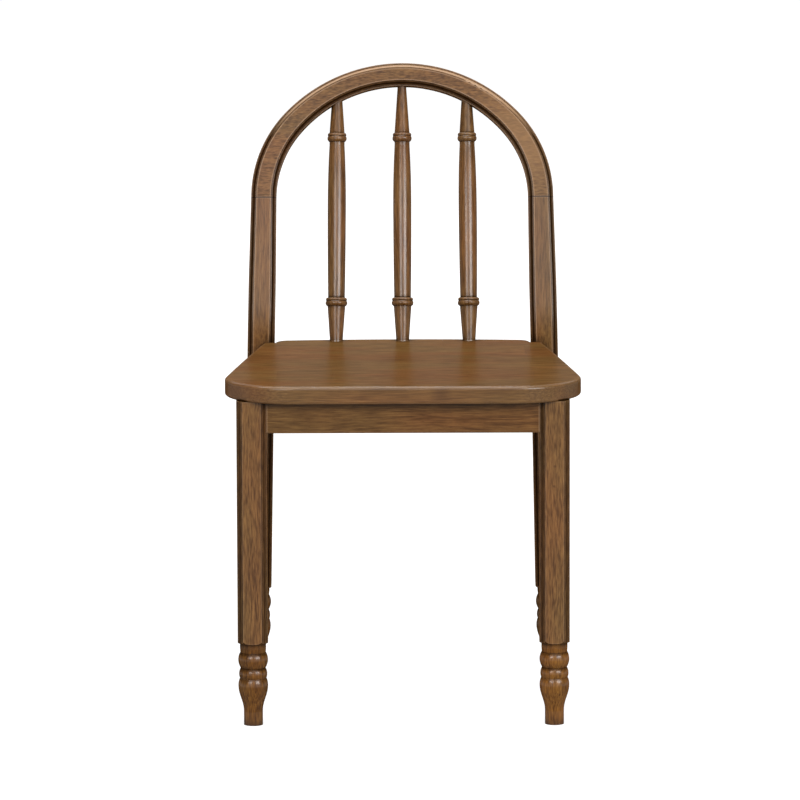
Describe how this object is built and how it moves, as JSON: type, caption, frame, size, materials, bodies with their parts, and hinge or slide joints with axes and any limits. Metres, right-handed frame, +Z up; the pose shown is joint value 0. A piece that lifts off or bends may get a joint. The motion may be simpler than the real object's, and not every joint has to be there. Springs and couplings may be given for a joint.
{
  "type": "kids chair",
  "caption": "Low wooden chair for a small child: plank seat, hooped back with turned spindles, and square moulded legs that end in turned feet.",
  "frame": {"origin": "on the floor, under the middle of the chair's bounding box", "axes": "+Z up, +Y towards the back of the chair, +X to the right as seen from the front"},
  "size_m": [0.3186, 0.3544, 0.5637],
  "materials": {
    "stained_wood": "walnut stain under satin lacquer",
    "raw_wood": "bare, planed",
    "zinc_steel": "bright zinc"
  },
  "bodies": {
    "root": {"seat_panel": "stained_wood", "front_apron": "stained_wood", "rear_apron": "stained_wood", "right_side_apron": "stained_wood", "left_side_apron": "stained_wood", "right_front_leg": "stained_wood", "left_front_leg": "stained_wood", "right_rear_post": "stained_wood", "left_rear_post": "stained_wood", "arched_top_rail": "stained_wood", "left_spindle": "stained_wood", "centre_spindle": "stained_wood", "right_spindle": "stained_wood", "right_front_corner_block": "raw_wood", "left_front_corner_block": "raw_wood", "right_rear_corner_block": "raw_wood", "left_rear_corner_block": "raw_wood", "right_rail_dowels": "raw_wood", "left_rail_dowels": "raw_wood", "corner_block_screws": "zinc_steel", "seat_screws": "zinc_steel"}
  },
  "joints": []
}
